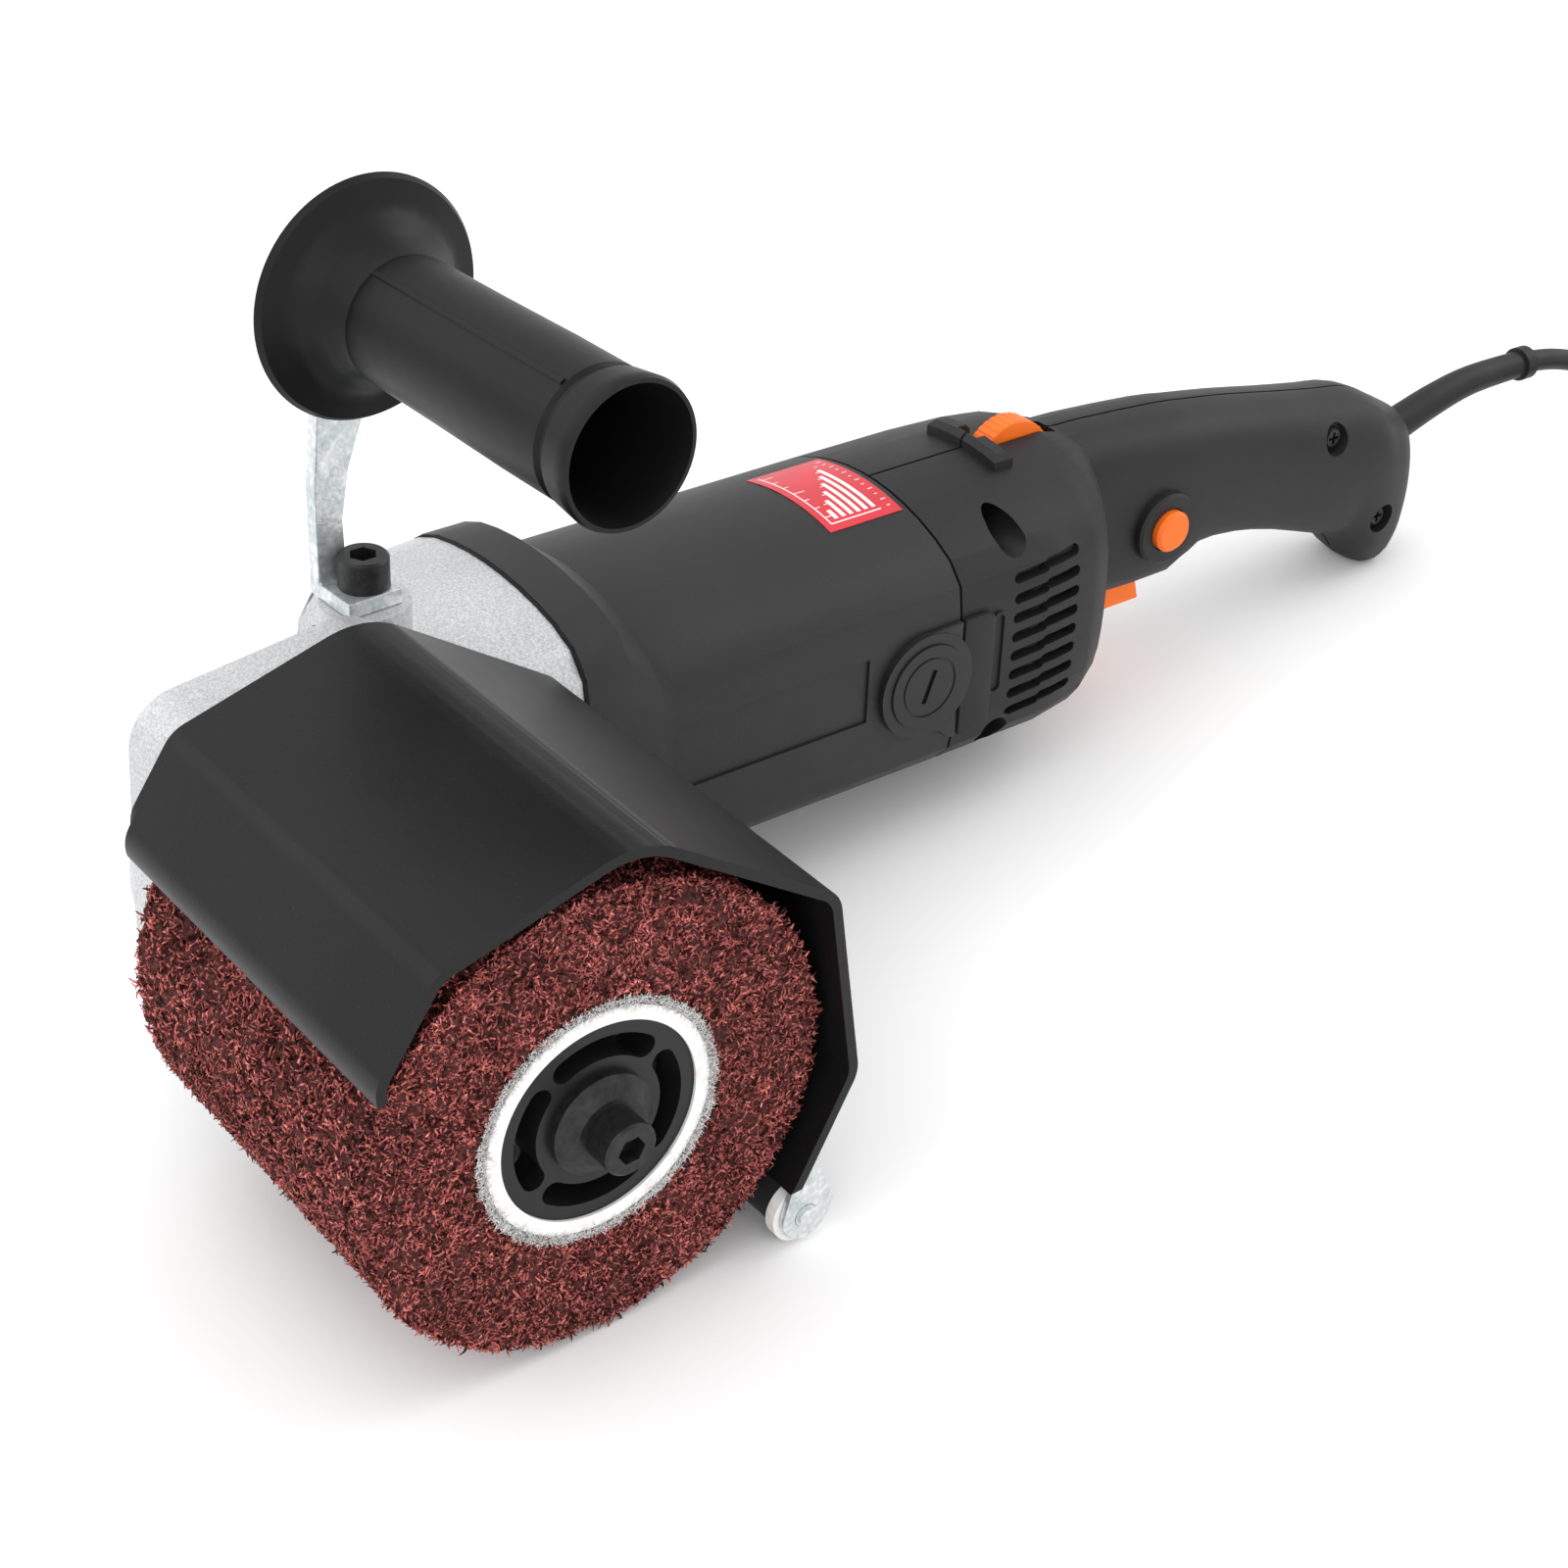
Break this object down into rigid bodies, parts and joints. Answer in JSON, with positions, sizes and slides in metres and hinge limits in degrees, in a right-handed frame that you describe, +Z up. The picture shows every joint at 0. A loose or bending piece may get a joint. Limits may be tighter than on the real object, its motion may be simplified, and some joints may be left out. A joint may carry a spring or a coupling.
{
  "type": "drum polisher",
  "caption": "Corded drum polisher: an electric motor with a right-angle gear head spins an abrasive drum under a steel guard, with a side handle, guide roller and rear grip.",
  "frame": {"origin": "on the floor plane, below the middle of the tool's bounding box without its free cord", "axes": "+X from the drum towards the rear grip, +Y along the drum's axis from its open face towards the gear head, +Z up, standing on the drum, the guide roller and the grip's heel"},
  "size_m": [0.6562, 0.2248, 0.22],
  "materials": {
    "abrasive": "matt",
    "fibre_tube": "satin",
    "moulded_black": "satin",
    "steel": "satin",
    "zinc_plate": "satin",
    "black_oxide": "satin",
    "bronze": "satin",
    "copper": "satin",
    "carbon": "matt",
    "cast_alloy": "satin",
    "black_coating": "satin",
    "orange_plastic": "satin",
    "circuit_board": "satin",
    "roller_sleeve": "matt",
    "lead_rubber": "matt",
    "tie_plastic": "satin"
  },
  "bodies": {
    "tool": {"air_baffle": "moulded_black", "brush_caps": "moulded_black", "motor_housing": "moulded_black", "handle_shell_left": "moulded_black", "handle_shell_right": "moulded_black", "cord_clamp": "moulded_black", "switch_body": "moulded_black", "spindle_bearing_outer": "steel", "front_bearing_outer": "steel", "rear_bearing_outer": "steel", "stator_core": "steel", "cover_screws": "steel", "housing_screws": "steel", "trigger_pin": "steel", "dial_axle": "steel", "roller_axle": "steel", "roller_plates": "zinc_plate", "bracket_screw": "black_oxide", "handle_screws": "black_oxide", "spindle_rear_bush": "bronze", "brush_holders": "bronze", "stator_windings": "copper", "carbon_brushes": "carbon", "gear_case": "cast_alloy", "gear_case_cover": "cast_alloy", "guard": "black_coating", "speed_board": "circuit_board", "strain_relief": "lead_rubber", "cord_run": "lead_rubber", "cord_coil": "lead_rubber", "cord_lead": "lead_rubber", "plug": "lead_rubber", "coil_tie": "tie_plastic"},
    "drum": {"abrasive_drum": "abrasive", "core_tube": "fibre_tube", "hub_near": "moulded_black", "hub_far": "moulded_black", "drum_keys": "steel", "drum_bolt": "black_oxide", "drum_washer": "black_oxide", "spindle": "steel", "crown_wheel": "steel", "spindle_bearing_inner": "steel"},
    "rotor": {"motor_shaft": "steel", "pinion": "steel", "front_bearing_inner": "steel", "rotor_core": "steel", "rotor_windings": "copper", "commutator": "copper", "cooling_fan": "moulded_black", "rear_bearing_inner": "steel"},
    "roller": {"guide_roller": "roller_sleeve", "roller_discs": "fibre_tube"},
    "trigger": {"trigger": "orange_plastic"},
    "lock_button": {"lock_button": "orange_plastic"},
    "speed_dial": {"speed_dial": "orange_plastic"},
    "side_handle": {"handle_bracket": "zinc_plate", "side_handle": "moulded_black", "handle_stud": "steel", "handle_nut": "steel"}
  },
  "joints": [
    {"name": "drum_spin", "type": "hinge", "parent": "tool", "child": "drum", "pos_m": [-0.1707, -0.0893, 0.06], "axis": [0, 1, 0], "continuous": true},
    {"name": "motor_spin", "type": "hinge", "parent": "tool", "child": "rotor", "pos_m": [-0.07082, 0.0567, 0.05511], "axis": [0.9988, 0, -0.0488], "continuous": true},
    {"name": "roller_spin", "type": "hinge", "parent": "tool", "child": "roller", "pos_m": [-0.1189, -0.0893, 0.0081], "axis": [0, 1, 0], "continuous": true},
    {"name": "trigger_pull", "type": "hinge", "parent": "tool", "child": "trigger", "pos_m": [0.08755, 0.0567, 0.03836], "axis": [0, -1, 0], "range_deg": [0, 8], "stiffness_Nm_per_rad": 2, "springref_deg": -5.73},
    {"name": "lock_press", "type": "slide", "parent": "tool", "child": "lock_button", "axis": [0, 1, 0], "range_m": [0, 0.0025], "stiffness_N_per_m": 600, "springref_m": -0.001},
    {"name": "dial_turn", "type": "hinge", "parent": "tool", "child": "speed_dial", "pos_m": [0.06658, 0.0567, 0.08043], "axis": [0, 1, 0], "range_deg": [-135, 135]},
    {"name": "bracket_swivel", "type": "hinge", "parent": "tool", "child": "side_handle", "pos_m": [-0.1458, 0.0417, 0.11885], "axis": [0.0488, 0, 0.9988], "range_deg": [-25, 25]}
  ],
  "couplings": [
    {"joint": "motor_spin", "follows": "drum_spin", "ratio": 4}
  ]
}
